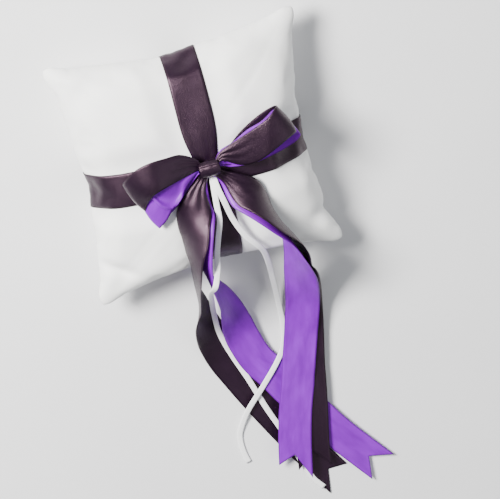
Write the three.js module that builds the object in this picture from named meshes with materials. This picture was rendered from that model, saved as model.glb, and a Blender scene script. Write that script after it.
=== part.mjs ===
// A ring bearer pillow: a small stuffed satin cushion, wrapped both ways with a plum ribbon,
// with a two-ribbon bow (plum over violet) and a narrow white tie for the rings.
// Millimetres, +Z up. The pillow lies on its back on the plane z = 0, its middle over the origin,
// its upper edge towards +Y; the bow's streamers fall over the lower edge towards -Y.
import * as THREE from 'three';

// ---------- cushion ----------
const pillowSide = 178; // corner to corner along one side
const sidePullIn = 10.5; // how far the middle of each side is drawn in
const seamHeight = 28; // the edge seam above the table
const frontCrown = 33; // rise of the front over the seam
const backCrown = 35; // fall of the back below the seam, flattened by the table
const loftPower = 0.42; // roundness of the cushion's section
const coverWall = 0.8; // cover fabric with its lining
const seamGap = 0.3; // between the two covers' rims
const fillingClearance = 0.6; // filling to cover
const seamAllowance = 5; // filling to cover at the seam, where the thread runs
const fillingEdge = 3; // the filling's thickness at its rim
const edgeSharpness = 6; // how closely an inset keeps to the rim
const threadSize = 0.5;
const closingFrom = 0.3; // the hand-closed opening, as shares of the half side
const closingTo = 0.88;
const closingStitches = 9;

// ---------- ribbons ----------
const ribbonWidth = 25;
const ribbonThickness = 0.5;
const clearance = 0.4; // between pieces that touch
const layerStep = ribbonThickness + clearance;
const bandClearance = 0.6; // band to cover
const bandSink = 5; // how deep the bands draw the front in
const grooveMargin = 2; // flat groove beyond each edge of a band
const frontGrooveRamp = 22;
const backGrooveRamp = 8;
const verticalBandX = 4;
const horizontalBandY = -3;
const lapLength = 20;
const verticalLapFrom = 40; // inner end of the upright band, on the back
const horizontalLapFrom = -45;
const gatheredWidth = 8; // ribbon bunched where it leaves the knot
const gatherLength = 26;
const tieWidth = 4;
const tieThickness = 0.8;

// ---------- bow knot ----------
const knotX = 4;
const knotY = 2;
const knotLength = 15;
const knotHalfDepth = 6.2;
const knotHalfHeight = 5.2;
const knotWall = 0.8;

// ---------- colours ----------
const whiteSatin = new THREE.MeshStandardMaterial({ color: 0xf1f1ee, roughness: 0.5, metalness: 0 });
const fibre = new THREE.MeshStandardMaterial({ color: 0xf7f7f5, roughness: 1, metalness: 0 });
const thread = new THREE.MeshStandardMaterial({ color: 0xe6e6e2, roughness: 0.7, metalness: 0 });
const plumSatin = new THREE.MeshStandardMaterial({ color: 0x3a2440, roughness: 0.35, metalness: 0 });
const violetSatin = new THREE.MeshStandardMaterial({ color: 0x8a3cc0, roughness: 0.35, metalness: 0 });
const whiteTie = new THREE.MeshStandardMaterial({ color: 0xfafafa, roughness: 0.4, metalness: 0 });

const pillow = new THREE.Group();

function add(name, geometry, material) {
  geometry.computeVertexNormals();
  const mesh = new THREE.Mesh(geometry, material);
  mesh.name = name;
  pillow.add(mesh);
}

// The cushion and ribbon that the bow and streamers were laid on. Another size carries their
// routes along with it, in `carried`.
const laidOn = { side: 178, pullIn: 10.5, seam: 28, crown: 33, ribbon: 25 };

// ---------- the cushion's shape, over u and v from -1 to 1 across its sides ----------
const halfSide = pillowSide / 2;
const waist = halfSide - sidePullIn;
const seamTop = seamHeight + seamGap / 2;
const seamBottom = seamHeight - seamGap / 2;
const verticalBandU = verticalBandX / waist;
const horizontalBandV = horizontalBandY / waist;
const grooveHalf = (ribbonWidth / 2 + grooveMargin) / waist;

const planX = (u, v) => u * (halfSide - sidePullIn * (1 - v * v));
const planY = (u, v) => v * (halfSide - sidePullIn * (1 - u * u));
const loft = (u, v) => Math.max(0, (1 - u * u) * (1 - v * v)) ** loftPower;

function groove(u, v, ramp) {
  const nearest = Math.min(Math.abs(u - verticalBandU), Math.abs(v - horizontalBandV));
  return 1 - THREE.MathUtils.smoothstep(nearest, grooveHalf, grooveHalf + ramp / waist);
}

function frontHeight(u, v) {
  const rise = frontCrown - bandSink * groove(u, v, frontGrooveRamp);
  return rise * loft(u, v);
}

const overBands = 2 * layerStep + bandClearance; // the back's groove, above the table
function backDepth(u, v) {
  const table = seamBottom - coverWall;
  return Math.min(backCrown * loft(u, v), table - overBands * groove(u, v, backGrooveRamp));
}

// Grid lines across the cushion, close together at the seam and set on the groove's edges.
function gridLines(bandCentre) {
  const nearSeam = laidOn.side / pillowSide; // the first two keep their distance from the seam
  const shares = [0, 0.05 * nearSeam, 0.14 * nearSeam, 0.27, 0.44, 0.62, 0.82, 1];
  const lower = shares.map((share) => THREE.MathUtils.lerp(-1, bandCentre - grooveHalf, share));
  const upper = shares.map((share) => THREE.MathUtils.lerp(1, bandCentre + grooveHalf, share));
  return [...lower, bandCentre, ...upper.reverse()];
}
const linesU = gridLines(verticalBandU);
const linesV = gridLines(horizontalBandV);
const cells = linesU.length - 1;

// Splits the underside's squares along the same diagonal as the upper side's, so that slabs
// nest without touching: a box's two faces are split crosswise.
function matchDiagonals(geometry) {
  const underside = geometry.groups[5];
  const index = geometry.index;
  for (let i = underside.start; i < underside.start + underside.count; i += 6) {
    const [a, b, d, c] = [index.getX(i), index.getX(i + 1), index.getX(i + 2), index.getX(i + 4)];
    [a, b, c, a, c, d].forEach((corner, k) => index.setX(i + k, corner));
  }
}

// A slab over the cushion's plan, whose upper and lower faces are placed by the two functions.
function cushionSlab(upper, lower) {
  const geometry = new THREE.BoxGeometry(1, 1, 1, cells, cells, 1);
  matchDiagonals(geometry);
  const position = geometry.attributes.position;
  for (let i = 0; i < position.count; i += 1) {
    const u = linesU[Math.round((position.getX(i) + 0.5) * cells)];
    const v = linesV[Math.round((position.getY(i) + 0.5) * cells)];
    const place = position.getZ(i) > 0 ? upper : lower;
    const { inset, z } = place(u, v);
    const shrink = 1 - (inset / halfSide) * Math.max(Math.abs(u), Math.abs(v)) ** edgeSharpness;
    position.setXYZ(i, planX(u, v) * shrink, planY(u, v) * shrink, z);
  }
  return geometry;
}

const frontSurface = (inset, lift) => (u, v) => ({ inset, z: seamTop + frontHeight(u, v) + lift });
const backSurface = (inset, lift) => (u, v) => ({ inset, z: seamBottom - backDepth(u, v) - lift });

add('cover_front', cushionSlab(frontSurface(0, coverWall), frontSurface(coverWall, 0)), whiteSatin);
add('cover_back', cushionSlab(backSurface(coverWall, 0), backSurface(0, coverWall)), whiteSatin);

const fillingInset = coverWall + seamAllowance;
function fillingTop(u, v) {
  const z = seamTop + frontHeight(u, v) - fillingClearance;
  return { inset: fillingInset, z: Math.max(z, seamHeight + fillingEdge / 2) };
}
function fillingBottom(u, v) {
  const z = seamBottom - backDepth(u, v) + fillingClearance;
  return { inset: fillingInset, z: Math.min(z, seamHeight - fillingEdge / 2) };
}
add('fibre_filling', cushionSlab(fillingTop, fillingBottom), fibre);

// ---------- strips: ribbons and threads as thin boxes bent along a route ----------

// `at(fraction)` gives the centre, the direction across, the face direction and the width there.
// A swallowtail end is cut back by the share `notch` in the middle and `skew` along one edge.
function strip({ at, thickness, steps, acrossSteps = 2, notch = 0, skew = 0 }) {
  const geometry = new THREE.BoxGeometry(1, 1, 1, steps, acrossSteps, 1);
  matchDiagonals(geometry);
  const position = geometry.attributes.position;
  for (let i = 0; i < position.count; i += 1) {
    const side = 2 * position.getY(i);
    const cut = 1 - notch * (1 - Math.abs(side)) - Math.abs(skew) - skew * side;
    const fraction = (position.getX(i) + 0.5) * cut;
    const { centre, across, face, width } = at(fraction);
    const point = centre.clone()
      .addScaledVector(across, side * width / 2)
      .addScaledVector(face, position.getZ(i) * thickness);
    position.setXYZ(i, point.x, point.y, point.z);
  }
  return geometry;
}

// Stations on a plain run of points, for a thread whose face points along `facing`.
function threadStations(points, facing) {
  return points.map((centre, i) => {
    const next = points[Math.min(i + 1, points.length - 1)];
    const last = points[Math.max(i - 1, 0)];
    const tangent = next.clone().sub(last).normalize();
    const across = facing.clone().cross(tangent).normalize();
    return { centre, across, face: tangent.clone().cross(across), width: threadSize };
  });
}

function stationStrip(stations, thickness) {
  const steps = stations.length - 1;
  return strip({ at: (fraction) => stations[Math.round(fraction * steps)], thickness, steps, acrossSteps: 1 });
}

const vector = (x, y, z) => new THREE.Vector3(x, y, z);
const upward = vector(0, 0, 1);

// ---------- sewing thread round the edge, and the hand-closed opening ----------
const cornerSteps = 12;
const outline = []; // u and v round the edge, from one end of the opening to the other
for (let i = 0; i <= cornerSteps; i += 1) {
  outline.push([THREE.MathUtils.lerp(closingTo, 1, i / cornerSteps), -1]);
}
for (const [turnU, turnV] of [[1, 0], [0, 1], [-1, 0]]) {
  for (let i = 1; i <= cornerSteps; i += 1) {
    const along = -1 + 2 * (i / cornerSteps);
    outline.push([turnU === 0 ? -along : turnU, turnV === 0 ? along * turnU : turnV]);
  }
}
for (let i = 1; i <= cornerSteps; i += 1) {
  outline.push([THREE.MathUtils.lerp(-1, closingFrom, i / cornerSteps), -1]);
}
const threadInset = (halfSide - coverWall - seamAllowance / 2) / halfSide;
const seamRoute = outline.map(([u, v]) => vector(
  planX(u, v) * threadInset,
  planY(u, v) * threadInset,
  seamHeight,
));
add('seam_thread', stationStrip(threadStations(seamRoute, upward), threadSize), thread);

const closingRoute = [];
for (let i = 0; i <= 2 * closingStitches; i += 1) {
  const u = THREE.MathUtils.lerp(closingFrom, closingTo, i / (2 * closingStitches));
  const side = i % 2 === 0 ? 1 : -1;
  closingRoute.push(vector(planX(u, -1), planY(u, -1) - clearance - threadSize / 2, seamHeight + side));
}
const outward = vector(0, -1, 0);
add('closing_stitches', stationStrip(threadStations(closingRoute, outward), threadSize), thread);

// ---------- the two wrapping bands, each one length lapped and tacked on the back ----------

// The route of a band round the cushion in its own plane: `span` gives the plan distance and
// `rise`/`fall` the heights over the fraction across. The outer layer of the lap is on the table.
function bandRoute({ lines, span, rise, fall, crossing, frontStep, mainLevel, lapFrom, heading }) {
  const offset = bandClearance + ribbonThickness / 2;
  const level = (layer) => ribbonThickness / 2 + layer * layerStep;
  const section = [];
  const ordered = heading > 0 ? lines : [...lines].reverse();
  // Back, in the heading's direction, from the inner end of the lap.
  const lapTo = lapFrom + heading * lapLength;
  section.push({ along: lapFrom, z: level(1), flat: true });
  section.push({ along: lapTo, z: level(1), flat: true });
  section.push({ along: lapTo + heading * lapLength / 2, z: level(mainLevel), flat: true });
  const coverPoint = (t, height) => ({ along: span(t), z: height(t) });
  for (const t of ordered) {
    if (heading * span(t) > heading * (lapTo + heading * lapLength / 2)) {
      section.push(coverPoint(t, fall));
    }
  }
  for (const t of [...ordered].reverse()) {
    const crosses = frontStep > 0 && Math.abs(t - crossing) <= grooveHalf + 1e-6;
    section.push(crosses
      ? { along: span(t), z: rise(crossing) + offset + frontStep, flat: true }
      : coverPoint(t, rise));
  }
  for (const t of ordered) {
    if (heading * span(t) < heading * lapFrom) section.push({ ...coverPoint(t, fall), outer: true });
  }
  section.push({ along: lapFrom, z: level(0), flat: true });
  section.push({ along: lapTo, z: level(0), flat: true });
  return section.map((point, i) => {
    if (point.flat) return point;
    const before = section[i - 1];
    const after = section[i + 1];
    const run = new THREE.Vector2(after.along - before.along, after.z - before.z).normalize();
    const along = point.along + heading * run.y * offset;
    const z = point.z - heading * run.x * offset;
    const floor = level(point.outer ? 0 : mainLevel);
    return point.z < overBands + threadSize ? { along: point.along, z: floor } : { along, z };
  });
}

const verticalRoute = bandRoute({
  lines: linesV,
  span: (v) => planY(verticalBandU, v),
  rise: (v) => seamTop + frontHeight(verticalBandU, v) + coverWall,
  fall: (v) => seamBottom - backDepth(verticalBandU, v) - coverWall,
  crossing: horizontalBandV,
  frontStep: layerStep,
  mainLevel: 0,
  lapFrom: verticalLapFrom,
  heading: -1,
}).map(({ along, z }) => vector(verticalBandX, along, z));
const horizontalRoute = bandRoute({
  lines: linesU,
  span: (u) => planX(u, horizontalBandV),
  rise: (u) => seamTop + frontHeight(u, horizontalBandV) + coverWall,
  fall: (u) => seamBottom - backDepth(u, horizontalBandV) - coverWall,
  crossing: verticalBandU,
  frontStep: 0,
  mainLevel: 1,
  lapFrom: horizontalLapFrom,
  heading: 1,
}).map(({ along, z }) => vector(along, horizontalBandY, z));

function band(name, points, across) {
  const stations = points.map((centre, i) => {
    const next = points[Math.min(i + 1, points.length - 1)];
    const last = points[Math.max(i - 1, 0)];
    const tangent = next.clone().sub(last).normalize();
    return { centre, across, face: tangent.clone().cross(across).normalize(), width: ribbonWidth };
  });
  add(name, stationStrip(stations, ribbonThickness), plumSatin);
}
band('band_vertical', verticalRoute, vector(-1, 0, 0));
band('band_horizontal', horizontalRoute, vector(0, -1, 0));

// ---------- the bow's knot, and the ring tie's middle that passes under it ----------
const crossingZ = seamTop + frontHeight(verticalBandU, horizontalBandV) + coverWall;
const bandTop = crossingZ + bandClearance + layerStep + ribbonThickness;
const tieZ = bandTop + clearance + tieThickness / 2;
const knotZ = tieZ + tieThickness / 2 + clearance + knotHalfHeight;
const knotRound = 28; // facets round the knot

// A barrel along X: a closed profile of [radius, place along X] turned about its axis.
function barrel(profile) {
  const points = profile.map(([radius, along]) => new THREE.Vector2(radius, along));
  const geometry = new THREE.LatheGeometry(points, knotRound);
  geometry.rotateZ(-Math.PI / 2);
  geometry.scale(1, 1, knotHalfHeight / knotHalfDepth);
  geometry.translate(knotX, knotY, knotZ);
  return geometry;
}
const wrapEnd = knotLength / 2;
const wrapRim = knotHalfDepth * 0.86;
add('bow_knot_wrap', barrel([
  [wrapRim, -wrapEnd],
  [knotHalfDepth, -wrapEnd / 3],
  [knotHalfDepth, wrapEnd / 3],
  [wrapRim, wrapEnd],
  [wrapRim - knotWall, wrapEnd],
  [knotHalfDepth - knotWall, wrapEnd / 3],
  [knotHalfDepth - knotWall, -wrapEnd / 3],
  [wrapRim - knotWall, -wrapEnd],
  [wrapRim, -wrapEnd],
]), plumSatin);
const coreRadius = knotHalfDepth - knotWall - 2 * clearance;
const coreRim = wrapRim - knotWall - 2 * clearance;
add('bow_knot_core', barrel([
  [0, -wrapEnd],
  [coreRim, -wrapEnd],
  [coreRadius, -wrapEnd / 3],
  [coreRadius, wrapEnd / 3],
  [coreRim, wrapEnd],
  [0, wrapEnd],
]), violetSatin);

// ---------- ribbon routes ----------

// Where `t` falls among a route's stations: the station before it and the share beyond.
function between(stations, t) {
  const place = t * (stations.length - 1);
  const index = Math.min(Math.floor(place), stations.length - 2);
  return [index, place - index];
}

// A route point moved with the cushion: up with its front and still on the table, and out with
// its sides by the share `spread`. The front is read at the point and a little inside it, and
// the ribbon keeps clear of the higher reading, as the cushion falls away differently beside it.
const laidWaist = laidOn.side / 2 - laidOn.pullIn;
const readings = [1, 0.9];
function carried(x, y, z, spread) {
  const growth = waist - laidWaist;
  const reach = (plan, half) => THREE.MathUtils.clamp(plan / half, -1, 1);
  const movedX = x + reach(x, laidWaist) * growth * spread;
  const movedY = y + reach(y, laidWaist) * growth * spread;
  const rises = readings.map((inside) => {
    const laidLoft = loft(reach(x, laidWaist) * inside, reach(y, laidWaist) * inside);
    const newLoft = loft(reach(movedX, waist) * inside, reach(movedY, waist) * inside);
    return seamHeight - laidOn.seam + frontCrown * newLoft - laidOn.crown * laidLoft;
  });
  const rise = Math.max(...rises) + 0.03 * Math.abs(growth);
  const laidTop = laidOn.seam + laidOn.crown * loft(reach(x, laidWaist) * 0.9, reach(y, laidWaist) * 0.9);
  return vector(movedX, movedY, z + rise * Math.min(1, z / laidTop));
}

// A streamer's route: x, y, z and the ribbon's turn about the route, in degrees. Where it stands
// on edge, a wider ribbon stands higher.
const onEdgeRise = 0.62; // half the extra width, and the roll over the cushion's edge
function streamerRoute(stations) {
  const curve = new THREE.CatmullRomCurve3(stations.map(([x, y, z, turn]) => {
    const onEdge = Math.abs(Math.sin(THREE.MathUtils.degToRad(turn)));
    return carried(x, y, z, 1).addScaledVector(upward, onEdge * (ribbonWidth - laidOn.ribbon) * onEdgeRise);
  }));
  const length = curve.getLength();
  return (fraction) => {
    const t = curve.getUtoTmapping(fraction);
    const [index, share] = between(stations, t);
    const turn = THREE.MathUtils.lerp(stations[index][3], stations[index + 1][3], share);
    const tangent = curve.getTangent(t);
    const across = upward.clone().cross(tangent).normalize();
    across.applyAxisAngle(tangent, THREE.MathUtils.degToRad(turn));
    const opened = THREE.MathUtils.smoothstep(fraction * length, 0, gatherLength);
    return {
      centre: curve.getPoint(t),
      across,
      face: tangent.clone().cross(across),
      width: THREE.MathUtils.lerp(gatheredWidth, ribbonWidth, opened),
    };
  };
}

// A bow loop's route: x, y, z, then the level direction across as x, y, then the width.
function loopRoute(stations) {
  const curve = new THREE.CatmullRomCurve3(stations.map(([x, y, z]) => carried(x, y, z, 0)));
  return (fraction) => {
    const t = curve.getUtoTmapping(fraction);
    const [index, share] = between(stations, t);
    const blend = (column) => THREE.MathUtils.lerp(stations[index][column], stations[index + 1][column], share);
    const tangent = curve.getTangent(t);
    const across = vector(blend(3), blend(4), 0);
    across.addScaledVector(tangent, -across.dot(tangent)).normalize();
    const width = blend(5) * (ribbonWidth / laidOn.ribbon);
    return { centre: curve.getPoint(t), across, face: tangent.clone().cross(across), width };
  };
}

// ---------- bow loops: out from the knot over the top, round and back underneath ----------

// A ribbon lying inside another: `inset` behind its face and slid across it by `slide` at the fold.
function nested(route, inset, slide) {
  return (fraction) => {
    const { centre, across, face, width } = route(fraction);
    const inner = centre.clone()
      .addScaledVector(face, -inset)
      .addScaledVector(across, slide * Math.sin(Math.PI * fraction));
    return { centre: inner, across, face, width };
  };
}

function loop(side, stations, liningSlide) {
  const route = loopRoute(stations);
  const common = { thickness: ribbonThickness, steps: 34 };
  add(`loop_${side}_plum`, strip({ at: route, ...common }), plumSatin);
  add(`loop_${side}_violet`, strip({ at: nested(route, liningInset, liningSlide), ...common }), violetSatin);
}
const liningInset = 2 * (ribbonWidth / laidOn.ribbon); // between the middles of a loop's two ribbons
loop('left', [
  [-6, 3, 68, 0, -1, 8],
  [-14, 6, 71.5, 0.15, -0.98, 16],
  [-27, 8, 75, 0.3, -0.95, 23],
  [-41, 3, 75.5, 0.45, -0.89, 25],
  [-51, -4, 71, 0.5, -0.86, 25],
  [-54, -7, 65.5, 0.5, -0.86, 25],
  [-50, -7, 60.5, 0.5, -0.86, 25],
  [-37, -5, 58.8, 0.4, -0.91, 23],
  [-21, -1, 59.8, 0.25, -0.96, 15],
  [-6, 1, 62.8, 0, -1, 8],
], 9);
loop('right', [
  [14, 3, 68, 0, 1, 8],
  [22, 6.5, 71.5, -0.2, 0.98, 16],
  [36, 12, 75, -0.35, 0.94, 23],
  [50, 17, 76, -0.42, 0.91, 25],
  [61, 21, 72, -0.42, 0.91, 25],
  [65, 22, 66, -0.42, 0.91, 25],
  [61, 20, 60.5, -0.42, 0.91, 25],
  [47, 13.5, 58.5, -0.4, 0.92, 23],
  [28, 6, 59.8, -0.2, 0.98, 15],
  [14, 1, 62.8, 0, 1, 8],
], -5);

// ---------- streamers: down the front, turned over at the lower edge, and along the table ----------
function streamer(name, stations, material, notch, skew) {
  add(name, strip({ at: streamerRoute(stations), thickness: ribbonThickness, steps: 48, notch, skew }), material);
}
streamer('streamer_left_plum', [
  [-2.3, -6.5, 62, 0],
  [-7, -13, 62.4, 0],
  [-11, -22, 63, 8],
  [-15, -34, 64, 32],
  [-17, -46, 65, 50],
  [-20, -58, 64, 68],
  [-21.5, -71, 60.2, 82],
  [-22, -87, 46.5, 90],
  [-21, -104, 32, 101],
  [-20, -125, 17, 138],
  [-16, -146, 6, 168],
  [-11, -165, 1, 180],
  [-4, -181, 0.7, 180],
  [7, -204, 0.7, 180],
  [23, -235, 0.7, 180],
  [35, -257, 0.7, 180],
  [54, -288, 0.7, 180],
], plumSatin, 0.035, -0.012);
streamer('streamer_left_violet', [
  [-1.5, -6.5, 60.2, 0],
  [-5, -15.5, 60.4, 0],
  [-9, -24.5, 61, 8],
  [-12, -35, 63.4, 30],
  [-14, -47, 64.2, 48],
  [-15, -60, 62.6, 64],
  [-14, -73, 57.6, 80],
  [-10, -93, 42.6, 100],
  [-4, -110, 29, 125],
  [0, -125, 19, 145],
  [3, -140, 11.5, 165],
  [6, -154, 6, 177],
  [12, -172, 3.7, 180],
  [22, -188, 3.7, 180],
  [31, -204, 3.7, 180],
  [46, -227, 3.7, 180],
  [60, -249, 3.7, 180],
  [86, -284, 3.7, 180],
], violetSatin, 0.045, 0);
streamer('streamer_right_plum', [
  [12.5, -6.5, 61.6, 0],
  [18, -12, 62.4, -8],
  [25.5, -21.5, 64.4, -28],
  [32, -30, 67, -50],
  [38, -40.5, 68, -70],
  [44, -52, 66, -85],
  [50, -62, 62, -95],
  [54.5, -74, 58.4, -106],
  [55, -88, 45, -122],
  [56, -104, 32, -142],
  [56, -122, 19, -158],
  [55, -139, 10, -170],
  [52.5, -160, 6.4, -180],
  [48.5, -183, 6.4, -180],
  [44, -214, 6.4, -180],
  [38.5, -246, 6.4, -180],
  [36, -268, 6.4, -180],
], plumSatin, 0.045, 0);
streamer('streamer_right_violet', [
  [11.5, -7.5, 60.2, 0],
  [16.2, -13.4, 61, -8],
  [22.8, -23.4, 62.6, -28],
  [28.6, -32.4, 65.6, -50],
  [34.6, -43, 67, -70],
  [41, -54.6, 65.4, -85],
  [46.6, -64.4, 62, -95],
  [50, -75, 56.4, -106],
  [52.4, -89, 46, -122],
  [53.6, -104, 34, -142],
  [54, -120, 22.4, -158],
  [52.7, -137, 12.8, -170],
  [47.7, -159, 8, -180],
  [42.4, -178, 8, -180],
  [36.8, -198.5, 8, -180],
  [30.3, -220.5, 8, -180],
  [24.7, -245.5, 8, -180],
  [20, -273, 8, -180],
], violetSatin, 0.045, 0.022);

// ---------- the narrow ring tie: one length through the knot, with two free ends ----------

// Keeps a flat cord's section level across its route.
class LevelRoute extends THREE.CatmullRomCurve3 {
  computeFrenetFrames(steps) {
    const tangents = [];
    const normals = [];
    const binormals = [];
    for (let i = 0; i <= steps; i += 1) {
      const tangent = this.getTangentAt(i / steps);
      const across = upward.clone().cross(tangent).normalize();
      tangents.push(tangent);
      normals.push(across);
      binormals.push(tangent.clone().cross(across));
    }
    return { tangents, normals, binormals };
  }
}

const tieSides = 8;
const tieSection = new THREE.Shape(Array.from({ length: tieSides }, (_, i) => {
  const angle = (2 * Math.PI * (i + 0.5)) / tieSides;
  return new THREE.Vector2(Math.cos(angle) * tieWidth / 2, Math.sin(angle) * tieThickness / 2);
}));

function tie(name, points, steps) {
  const route = new LevelRoute(points.map(([x, y, z]) => vector(x, y, z)));
  const geometry = new THREE.ExtrudeGeometry(tieSection, { extrudePath: route, steps, bevelEnabled: false });
  add(name, geometry, whiteTie);
}
const tieX = 5;
const tieExitY = knotY - knotHalfDepth - 1.5;
tie('ring_tie_middle', [[tieX, tieExitY, tieZ], [tieX, knotY, tieZ], [tieX, knotY + 3, tieZ]], 3);
tie('ring_tie_left', [
  [tieX, tieExitY - 2 * clearance, tieZ],
  [4.4, -15, 61],
  [3.6, -26, 62.4],
  [3, -38, 63],
  [-1, -52, 62],
  [-4, -62, 62.5],
  [-6.4, -71, 67],
  [-11.5, -81, 74],
  [-14.5, -90, 61],
  [-13.8, -102, 45],
  [-12.4, -120, 23],
  [-11, -139, 9],
  [-8.5, -152, 5],
  [-4, -167, 2.4],
  [3, -187, 2.2],
  [11, -213, 2.2],
  [20, -238, 2.2],
  [27.5, -263, 2.2],
  [33.3, -278.4, 2.2],
  [39.6, -287.4, 2.2],
], 40);
tie('ring_tie_right', [
  [tieX + 1, tieExitY - 2 * clearance, tieZ + tieThickness + clearance],
  [6.8, -14, 63.4],
  [9.4, -26, 63.2],
  [12.7, -40.7, 60],
  [18.8, -56.1, 56.5],
  [25.4, -66, 53],
  [30, -74.5, 47],
  [33, -89, 34],
  [35, -105, 20],
  [36.6, -130.3, 7],
  [36.5, -151.8, 3.5],
  [33.2, -167.1, 3.6],
  [25.9, -178.3, 5],
  [10.8, -195.1, 5],
  [-1, -207.5, 4.4],
  [-7.4, -217.1, 2.5],
  [-12.7, -228.6, 1],
  [-13.1, -240.9, 1],
  [-10.9, -251.7, 1],
], 34);

export default pillow;
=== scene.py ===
"""Ring bearer pillow: a white satin cushion wrapped in plum ribbon, with a two-colour bow,
long swallowtail streamers and narrow white ties for the rings."""

import math
from bisect import bisect_right

import bmesh
import bpy
from bpy.props import FloatProperty, FloatVectorProperty, PointerProperty
from mathutils import Matrix, Vector, noise
from mathutils.bvhtree import BVHTree


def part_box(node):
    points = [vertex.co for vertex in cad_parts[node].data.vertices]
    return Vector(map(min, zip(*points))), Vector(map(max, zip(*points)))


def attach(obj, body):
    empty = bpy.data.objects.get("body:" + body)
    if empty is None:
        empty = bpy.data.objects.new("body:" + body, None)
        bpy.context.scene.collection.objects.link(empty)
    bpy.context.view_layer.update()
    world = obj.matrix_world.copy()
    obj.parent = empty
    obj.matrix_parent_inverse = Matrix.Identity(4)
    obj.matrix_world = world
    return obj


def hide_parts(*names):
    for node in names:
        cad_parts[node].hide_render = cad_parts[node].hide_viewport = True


bl_info = {
    "name": "Ring Bearer Pillow",
    "version": (1, 0, 0),
    "blender": (4, 5, 0),
    "location": "3D View > Sidebar > Ring Pillow",
    "description": "Builds a satin ring bearer pillow with its bands, bow, streamers and ring ties",
    "category": "Object",
}

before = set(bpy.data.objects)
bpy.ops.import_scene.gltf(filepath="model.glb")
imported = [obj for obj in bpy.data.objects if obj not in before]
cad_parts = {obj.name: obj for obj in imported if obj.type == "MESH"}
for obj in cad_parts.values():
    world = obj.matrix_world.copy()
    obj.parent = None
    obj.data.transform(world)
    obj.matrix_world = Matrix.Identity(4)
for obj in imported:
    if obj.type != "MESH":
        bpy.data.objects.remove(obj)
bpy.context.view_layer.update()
MM = 0.001
UP = Vector((0, 0, 1))

COVER_LOW, COVER_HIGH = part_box("cover_front")
KNOT_LOW, KNOT_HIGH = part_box("bow_knot_wrap")
KNOT_CENTRE = (Vector(KNOT_LOW) + Vector(KNOT_HIGH)) / 2
KNOT_HALF = Vector([high - low for low, high in zip(KNOT_LOW, KNOT_HIGH)]) / 2
VERTICAL_LOW, VERTICAL_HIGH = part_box("band_vertical")
HORIZONTAL_LOW, HORIZONTAL_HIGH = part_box("band_horizontal")
BAND_X = (VERTICAL_LOW[0] + VERTICAL_HIGH[0]) / 2  # middle line of the band down the front
BAND_Y = (HORIZONTAL_LOW[1] + HORIZONTAL_HIGH[1]) / 2  # middle line of the band across


# ---------------------------------------------------------------- sizes and colours


class PillowSizes(bpy.types.PropertyGroup):
    """Sizes of the cushion, its ribbons and ties."""

    side: FloatProperty(
        name="Side", description="Cushion side, corner to corner",
        default=COVER_HIGH[0] - COVER_LOW[0], min=0.05, max=0.5, unit="LENGTH",
    )
    top: FloatProperty(
        name="Top", description="Height of the cushion's front above the table",
        default=COVER_HIGH[2], min=0.02, max=0.2, unit="LENGTH",
    )
    seam_height: FloatProperty(
        name="Seam height", description="Height of the edge seam above the table",
        default=COVER_LOW[2], min=0.005, max=0.1, unit="LENGTH",
    )
    ribbon: FloatProperty(
        name="Ribbon width", description="Width of the satin ribbon",
        default=VERTICAL_HIGH[0] - VERTICAL_LOW[0], min=0.005, max=0.05, unit="LENGTH",
    )
    ribbon_thickness: FloatProperty(
        name="Ribbon thickness", description="Thickness of the satin ribbon",
        default=0.4 * MM, min=0.1 * MM, max=1.5 * MM, unit="LENGTH",
    )
    tie: FloatProperty(
        name="Tie width", description="Width of the narrow ring tie",
        default=4 * MM, min=1 * MM, max=10 * MM, unit="LENGTH",
    )


class PillowColours(bpy.types.PropertyGroup):
    """Colours of the cloth and ribbons."""

    cover: FloatVectorProperty(
        name="Cover", description="Colour of the cushion's satin",
        subtype="COLOR", default=(0.93, 0.93, 0.915), min=0, max=1,
    )
    plum: FloatVectorProperty(
        name="Plum", description="Colour of the dark ribbon",
        subtype="COLOR", default=(0.0065, 0.0022, 0.0075), min=0, max=1,
    )
    plum_sheen: FloatVectorProperty(
        name="Plum sheen", description="Colour of the dark ribbon's highlights",
        subtype="COLOR", default=(0.95, 0.62, 0.80), min=0, max=1,
    )
    violet: FloatVectorProperty(
        name="Violet", description="Colour of the bright ribbon",
        subtype="COLOR", default=(0.19, 0.0, 0.44), min=0, max=1,
    )
    violet_sheen: FloatVectorProperty(
        name="Violet sheen", description="Colour of the bright ribbon's highlights",
        subtype="COLOR", default=(0.86, 0.48, 1.0), min=0, max=1,
    )
    tie: FloatVectorProperty(
        name="Tie", description="Colour of the narrow ring tie",
        subtype="COLOR", default=(1.0, 1.0, 1.0), min=0, max=1,
    )


def sizes():
    return bpy.context.scene.pillow_sizes


def colours():
    return bpy.context.scene.pillow_colours


# ---------------------------------------------------------------- small helpers


def smoothstep(value, low, high):
    share = min(max((value - low) / (high - low), 0.0), 1.0)
    return share * share * (3 - 2 * share)


def mix(a, b, share):
    return a + (b - a) * share


def hump(value, centre, width):
    """A bell that is 1 at the centre."""
    return math.exp(-(((value - centre) / width) ** 2))


def new_piece(name, bm, material):
    """Turns a bmesh into a smooth-shaded piece at the origin."""
    mesh = bpy.data.meshes.new(name)
    bm.to_mesh(mesh)
    bm.free()
    piece = bpy.data.objects.new(name, mesh)
    bpy.context.scene.collection.objects.link(piece)
    mesh.materials.append(material)
    for polygon in mesh.polygons:
        polygon.use_smooth = True
    return piece


def turn_outwards(bm):
    """Turns a closed bmesh's faces to point out."""
    bmesh.ops.recalc_face_normals(bm, faces=bm.faces)
    if bm.calc_volume(signed=True) < 0:
        bmesh.ops.reverse_faces(bm, faces=bm.faces)


def face_outwards(mesh):
    """Turns a closed mesh's faces to point out."""
    bm = bmesh.new()
    bm.from_mesh(mesh)
    turn_outwards(bm)
    bm.to_mesh(mesh)
    bm.free()


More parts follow.
